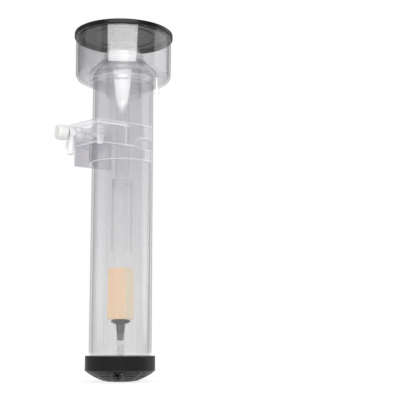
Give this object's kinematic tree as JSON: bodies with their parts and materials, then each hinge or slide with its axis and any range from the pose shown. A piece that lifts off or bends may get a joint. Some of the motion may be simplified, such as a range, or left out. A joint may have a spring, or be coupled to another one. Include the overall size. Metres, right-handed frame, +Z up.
{
  "type": "protein skimmer",
  "caption": "Clip-on counter-current skimmer: clear tube with strainer base and wooden air stone, inner tubes, foam cup with lid, hanger and air valve.",
  "frame": {"origin": "centre of the flat foot under the strainer dome, on the tube's axis", "axes": "+Z up the tube's axis; +X along the hanger's plates, away from the air valve; +Y towards the hanger's back plate"},
  "size_m": [0.1002, 0.0818, 0.2864],
  "materials": {
    "clear_acrylic": "clear, polished, faint grey tint",
    "clear_hanger": "clear moulded, grey-violet tint",
    "clear_soft": "clear soft hose",
    "black_base": "satin moulded",
    "black_lid": "high gloss",
    "brown_fitting": "satin, tarnished",
    "limewood": "raw, fine pores",
    "milky_valve": "translucent milky",
    "white_knob": "soft satin white",
    "grey_gasket": "matte"
  },
  "bodies": {
    "hanger": {"hanger": "clear_hanger", "valve_socket": "clear_hanger", "hanger_nipple": "clear_acrylic"},
    "tube": {"main_tube": "clear_acrylic"},
    "base": {"base_cap": "black_base", "base_elbow": "black_base", "base_nipple": "clear_acrylic", "connector_sleeve": "clear_soft"},
    "air_stone": {"airstone_fitting": "brown_fitting", "airstone_block": "limewood"},
    "cup": {"cup_shell": "clear_acrylic", "drain_nipple": "clear_acrylic", "riser_neck": "clear_acrylic", "neck_ring": "clear_acrylic", "neck_spider": "clear_acrylic", "inner_tube_upper": "clear_acrylic", "inner_tube_reducer": "clear_acrylic", "inner_tube_lower": "clear_acrylic"},
    "lid": {"lid": "black_lid"},
    "valve": {"valve_body": "milky_valve", "valve_bonnet": "clear_acrylic", "valve_gasket": "grey_gasket"},
    "needle": {"valve_needle": "milky_valve"},
    "knob": {"valve_knob": "white_knob"}
  },
  "joints": [
    {"name": "tube_slide", "type": "slide", "parent": "hanger", "child": "tube", "axis": [0, 0, 1], "range_m": [-0.035, 0.15]},
    {"name": "base_pull", "type": "slide", "parent": "tube", "child": "base", "axis": [0, 0, 1], "range_m": [-0.095, 0]},
    {"name": "stone_lift", "type": "slide", "parent": "base", "child": "air_stone", "axis": [0, 0, 1], "range_m": [0, 0.012]},
    {"name": "cup_lift", "type": "slide", "parent": "tube", "child": "cup", "axis": [0, 0, 1], "range_m": [0, 0.16]},
    {"name": "lid_lift", "type": "slide", "parent": "cup", "child": "lid", "axis": [0, 0, 1], "range_m": [0, 0.03]},
    {"name": "valve_swivel", "type": "hinge", "parent": "hanger", "child": "valve", "pos_m": [-0.0442, -0.001, 0.196], "axis": [1, 0, 0], "range_deg": [-90, 15]},
    {"name": "needle_slide", "type": "slide", "parent": "valve", "child": "needle", "axis": [-1, 0, 0], "range_m": [0, 0.006]},
    {"name": "knob_turn", "type": "hinge", "parent": "needle", "child": "knob", "pos_m": [-0.055, -0.001, 0.196], "axis": [-1, 0, 0], "range_deg": [0, 1080]}
  ],
  "couplings": [
    {"joint": "knob_turn", "follows": "needle_slide", "rad_per_m": 3141.6}
  ]
}
